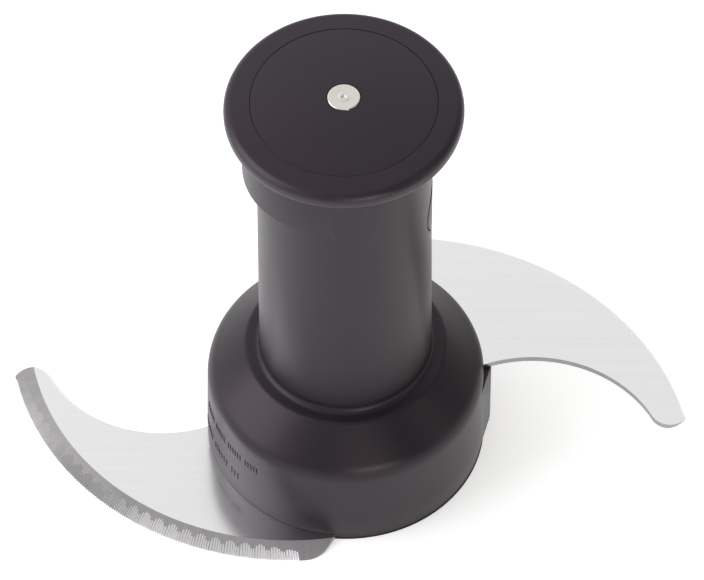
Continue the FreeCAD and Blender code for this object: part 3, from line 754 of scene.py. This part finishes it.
def addHub(shape, button, plate):
    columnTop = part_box("hub_column")[1].z
    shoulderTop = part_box("hub_skirt")[1].z
    upperLow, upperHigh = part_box("upper_blade")[0].z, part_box("upper_blade")[1].z
    hub = turnedPiece("mouldedHub", hubSection(shape, columnTop, shoulderTop), shape["steps"])
    lobe = turnedPiece("lobe", [
        (shape["boreRadius"] + shape["lobeLap"], columnTop - shape["lobeHeight"], 0),
        (shape["columnTopRadius"], columnTop - shape["lobeHeight"], shape["lobeRound"]),
        (shape["columnTopRadius"], columnTop, shape["rimChamfer"]),
        (shape["boreRadius"] + shape["lobeLap"], columnTop, 0)], shape["steps"])
    lobe.location.x = -shape["lobeOffset"]
    applyPlace(lobe)
    boolean(hub, lobe, "UNION")
    boolean(hub, addLedge(shape, upperLow), "UNION")
    boolean(hub, roundBar(shape["boreRadius"], shoulderTop - shape["boreBelow"], columnTop + shape["boreAbove"],
                          sides=shape["steps"]))
    gap = shape["slotGap"]
    wide = dict(plate, cutRadius=plate["cutRadius"] + gap, backRadius=plate["backRadius"] - gap,
                noseRound=plate["noseRound"] + gap)
    lower = bladeOutline(wide, dict(serration, scallopDepth=0))
    upper = [-point for point in lower]
    boolean(hub, plateFrom("lowerSlot", lower, -past, plate["thickness"] + gap))
    boolean(hub, plateFrom("upperSlot", upper, upperLow - gap, upperHigh + gap))
    boolean(hub, sideBar(button["radius"] + button["gap"], button["cutFrom"], button["cutTo"],
                         button["height"], button["bearing"]))
    cleanMesh(hub)
    finishPiece(hub, "hub", hubPlastic, ["hub_skirt", "hub_column"])


def addButton(button, shape):
    height, bearing = button["height"], button["bearing"]
    piece = sideBar(button["radius"], shape["boreRadius"] - button["sink"], button["stock"], height, bearing)
    piece.name = "thumbButton"
    face = roundBar(shape["columnTopRadius"] + button["proud"], button["faceLow"], button["faceHigh"],
                    sides=shape["steps"])
    boolean(piece, face, "INTERSECT")
    boolean(piece, sideBar(button["stemHole"], button["cutFrom"], button["stemTo"], height, bearing,
                           sides=button["stemSides"]))
    cleanMesh(piece)
    applyModifier(piece, "BEVEL", width=button["edgeRound"], segments=4, limit_method="ANGLE",
                  angle_limit=math.radians(50))
    finishPiece(piece, "lock", hubPlastic, ["release_button"])


# two rows of plain raised ribs on the skirt, with no meaning
skirtRibs = {
    "rows": ((18.0 * mm, 190.0, 230.0, 26), (9.3 * mm, 186.0, 219.0, 17)),     # height, bearings, count
    "width": 0.34 * mm, "height": 2.2 * mm, "out": 0.16 * mm, "sink": 0.25 * mm, "edge": 0.1 * mm,
    "pause": 7,          # every so many, one is left out
}


def addSkirtRibs(ribs, shape):
    deselectAll()
    bpy.ops.mesh.primitive_cube_add(size=1)
    pattern = bpy.context.object
    pattern.scale = (ribs["out"] + ribs["sink"], ribs["width"], ribs["height"])
    applyPlace(pattern)
    applyModifier(pattern, "BEVEL", width=ribs["edge"], segments=2)
    slope = (shape["footRadius"] - shape["skirtTopRadius"]) / shape["skirtEdge"]
    copies = []
    for height, start, end, count in ribs["rows"]:
        radius = shape["footRadius"] - slope * height + (ribs["out"] - ribs["sink"]) / 2
        for i in range(count):
            if i % ribs["pause"] == ribs["pause"] - 1:
                continue
            rib = bpy.data.objects.new("rib", pattern.data.copy())
            bpy.context.collection.objects.link(rib)
            bearing = start + (end - start) * i / (count - 1)
            rib.matrix_world = (
                Matrix.Rotation(math.radians(bearing), 4, "Z")
                @ Matrix.Translation((radius, 0, height)) @ Matrix.Rotation(-math.atan(slope), 4, "Y"))
            copies.append(rib)
    bpy.data.objects.remove(pattern)
    piece = joinAll(copies)
    piece.name = "skirtRibs"
    applyPlace(piece)
    finishPiece(piece, "hub", hubPlastic, [])


addHub(hubShape, buttonShape, bladeShape)
addButton(buttonShape, hubShape)
addSkirtRibs(skirtRibs, hubShape)
print("hub moulded")


knobShape = {
    "edgeRound": 2.3 * mm, "topFall": 0.75 * mm, "web": 2.85 * mm,
    "seamGap": 0.03 * mm, "seamChamfer": 0.08 * mm, "stemHole": 2.45 * mm,
    "bossHole": 17.25 * mm, "bossSink": 1.2 * mm, "bossWall": 2.8 * mm, "seatSteps": 128, "steps": 256,
}

discShape = {
    "radius": 22.43 * mm, "rise": 1.83 * mm, "seamChamfer": 0.07 * mm, "rings": 14,
    "studHole": 4.03 * mm, "studDepth": 1.5 * mm, "holeRound": 0.1 * mm,
    "stemHole": 2.45 * mm, "steps": 256,
}

studShape = {
    "radius": 3.98 * mm, "headHeight": 1.45 * mm, "edgeRound": 0.3 * mm, "fineRound": 0.1 * mm,
    "stemRadius": 2.4 * mm, "stemRound": 0.3 * mm, "rimWidth": 0.55 * mm,
    "dish": 0.06 * mm, "dishEnd": 0.5 * mm, "dishRound": 0.2 * mm,
    "markRadius": 1.0 * mm, "markRise": 0.10 * mm, "markWall": 0.1 * mm, "markRound": 0.05 * mm,
    "pitRadius": 0.62 * mm, "pitFloor": 0.3 * mm, "pitDepth": 0.35 * mm, "pitCrown": 0.1 * mm, "steps": 128,
}


def addKnob(shape, disc):
    low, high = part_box("knob")
    seat = disc["radius"] + shape["seamGap"]
    floor = low.z + shape["web"]
    knob = turnedPiece("gripKnob", [
        (shape["stemHole"], low.z, 0), (shape["bossHole"], low.z, 0), (high.x, low.z, shape["edgeRound"]),
        (high.x, high.z - shape["topFall"], shape["edgeRound"]), (seat, high.z, shape["seamChamfer"]),
        (seat, floor, 0), (shape["stemHole"], floor, 0)], shape["steps"])
    inner = shape["bossHole"] - shape["bossWall"]
    boolean(knob, turnedPiece("bossSeat", [
        (inner, low.z - past, 0), (shape["bossHole"], low.z - past, 0),
        (shape["bossHole"], low.z + shape["bossSink"], 0), (inner, low.z + shape["bossSink"], 0)],
        shape["seatSteps"]))
    finishPiece(knob, "knob", knobPlastic, ["knob"])


def addDisc(shape):
    low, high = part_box("knob_cap")
    top = high.z
    ballRadius = (shape["radius"] ** 2 + shape["rise"] ** 2) / (2 * shape["rise"])
    dome = []
    for i in range(1, shape["rings"]):
        radius = shape["radius"] - (shape["radius"] - shape["studHole"]) * i / shape["rings"]
        dome.append((radius, top - ballRadius + math.sqrt(ballRadius ** 2 - radius ** 2), 0))
    rim = top - shape["rise"]
    holeTop = top - ballRadius + math.sqrt(ballRadius ** 2 - shape["studHole"] ** 2)
    disc = turnedPiece("knobDisc", [
        (shape["stemHole"], low.z, 0), (shape["radius"], low.z, 0),
        (shape["radius"], rim, shape["seamChamfer"])]
        + dome + [(shape["studHole"], holeTop, shape["holeRound"]),
                  (shape["studHole"], top - shape["studDepth"], 0),
                  (shape["stemHole"], top - shape["studDepth"], 0)], shape["steps"])
    finishPiece(disc, "knob", knobPlastic, ["knob_cap"])


def addStud(shape):
    low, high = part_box("centre_stud")
    top = high.z
    under = top - shape["headHeight"]
    stud = turnedPiece("turnedStud", [
        (0, low.z, 0), (shape["stemRadius"], low.z, shape["stemRound"]), (shape["stemRadius"], under, 0),
        (shape["radius"], under, shape["fineRound"]), (shape["radius"], top, shape["edgeRound"]),
        (shape["radius"] - shape["rimWidth"], top, shape["fineRound"]),
        (shape["markRadius"] + shape["dishEnd"], top - shape["dish"], shape["dishRound"]),
        (shape["markRadius"] + shape["markWall"], top - shape["dish"] + shape["markRise"], shape["markRound"]),
        (shape["pitRadius"], top - shape["dish"] + shape["markRise"], shape["markRound"]),
        (shape["pitFloor"], top - shape["pitDepth"], shape["markRound"]),
        (0, top - shape["pitDepth"] + shape["pitCrown"], 0)], shape["steps"])
    finishPiece(stud, "knob", studSteel, ["centre_stud"])


addKnob(knobShape, discShape)
addDisc(discShape)
addStud(studShape)
print("knob turned")


finishes = {
    "knob_boss": knobPlastic, "core_tube": innerPlastic, "base_cover": innerPlastic,
    "blade_spacer": innerPlastic, "socket_carrier": innerPlastic, "lock_housing": innerPlastic,
    "slip_ring": slipPlastic, "knob_seal": sealRubber, "drive_socket": socketSteel, "lock_plate": socketSteel,
}
for name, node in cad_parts.items():
    node.data.materials.clear()
    node.data.materials.append(finishes.get(name, fastenerSteel))
print("finishes set")


floorSet = {"size": 6, "drop": 0.05 * mm, "tone": 0.93, "roughness": 0.7, "glow": 0.4}     # a lit white table


def addFloor(settings):
    deselectAll()
    bpy.ops.mesh.primitive_plane_add(size=settings["size"], location=(0, 0, -settings["drop"]))
    floor = bpy.context.object
    floor.name = "paleFloor"
    material, _, shader = newMaterial("paleFloor")
    shader.inputs["Base Color"].default_value = (*[settings["tone"]] * 3, 1)
    shader.inputs["Roughness"].default_value = settings["roughness"]
    shader.inputs["Emission Color"].default_value = (1, 1, 1, 1)
    shader.inputs["Emission Strength"].default_value = settings["glow"]
    floor.data.materials.append(material)


addFloor(floorSet)
print("floor laid")
